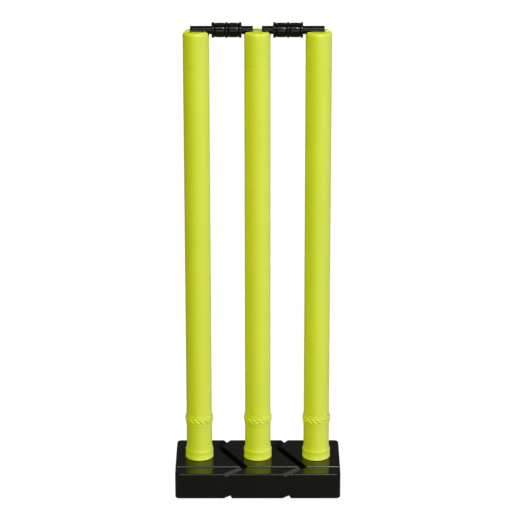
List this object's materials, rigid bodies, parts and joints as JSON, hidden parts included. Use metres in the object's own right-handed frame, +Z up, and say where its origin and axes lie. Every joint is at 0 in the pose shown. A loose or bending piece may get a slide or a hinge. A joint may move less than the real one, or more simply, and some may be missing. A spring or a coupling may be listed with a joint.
{
  "type": "cricket stumps",
  "caption": "Free-standing cricket wicket: round stumps with rope bands stand in a block base with zigzag grooves, and turned bails rest across their tops.",
  "frame": {"origin": "on the ground, below the middle stump, at the centre of the base", "axes": "+Z up along the stumps, +X along the row of stumps towards the right one, +Y towards the back"},
  "size_m": [0.2644, 0.138, 0.7683],
  "materials": {
    "neon_plastic": "satin moulded plastic, neon yellow-green",
    "base_plastic": "satin moulded plastic, black",
    "bail_plastic": "semi-gloss turned look, black",
    "pad_rubber": "matt rubber, black",
    "screw_steel": "zinc-plated steel"
  },
  "bodies": {
    "base": {"base_shell": "base_plastic", "base_floor": "base_plastic", "base_screw_1": "screw_steel", "base_screw_2": "screw_steel", "base_screw_3": "screw_steel", "base_screw_4": "screw_steel", "base_screw_5": "screw_steel", "base_screw_6": "screw_steel", "base_pad_1": "pad_rubber", "base_pad_2": "pad_rubber", "base_pad_3": "pad_rubber", "base_pad_4": "pad_rubber"},
    "middle_stump": {"middle_foot": "neon_plastic", "middle_tube": "neon_plastic", "middle_head": "neon_plastic"},
    "left_stump": {"left_foot": "neon_plastic", "left_tube": "neon_plastic", "left_head": "neon_plastic"},
    "right_stump": {"right_foot": "neon_plastic", "right_tube": "neon_plastic", "right_head": "neon_plastic"},
    "left_bail": {"left_bail": "bail_plastic"},
    "right_bail": {"right_bail": "bail_plastic"}
  },
  "joints": [
    {"name": "wicket_pull", "type": "slide", "parent": "base", "child": "middle_stump", "axis": [0, 0, 1], "range_m": [0, 0.05]},
    {"name": "left_stump_pull", "type": "slide", "parent": "middle_stump", "child": "left_stump", "axis": [0, 0, 1], "range_m": [0, 0.05]},
    {"name": "right_stump_pull", "type": "slide", "parent": "middle_stump", "child": "right_stump", "axis": [0, 0, 1], "range_m": [0, 0.05]},
    {"name": "left_bail_lift", "type": "slide", "parent": "left_stump", "child": "left_bail", "axis": [0, 0, 1], "range_m": [0, 0.03]},
    {"name": "right_bail_lift", "type": "slide", "parent": "right_stump", "child": "right_bail", "axis": [0, 0, 1], "range_m": [0, 0.03]}
  ]
}
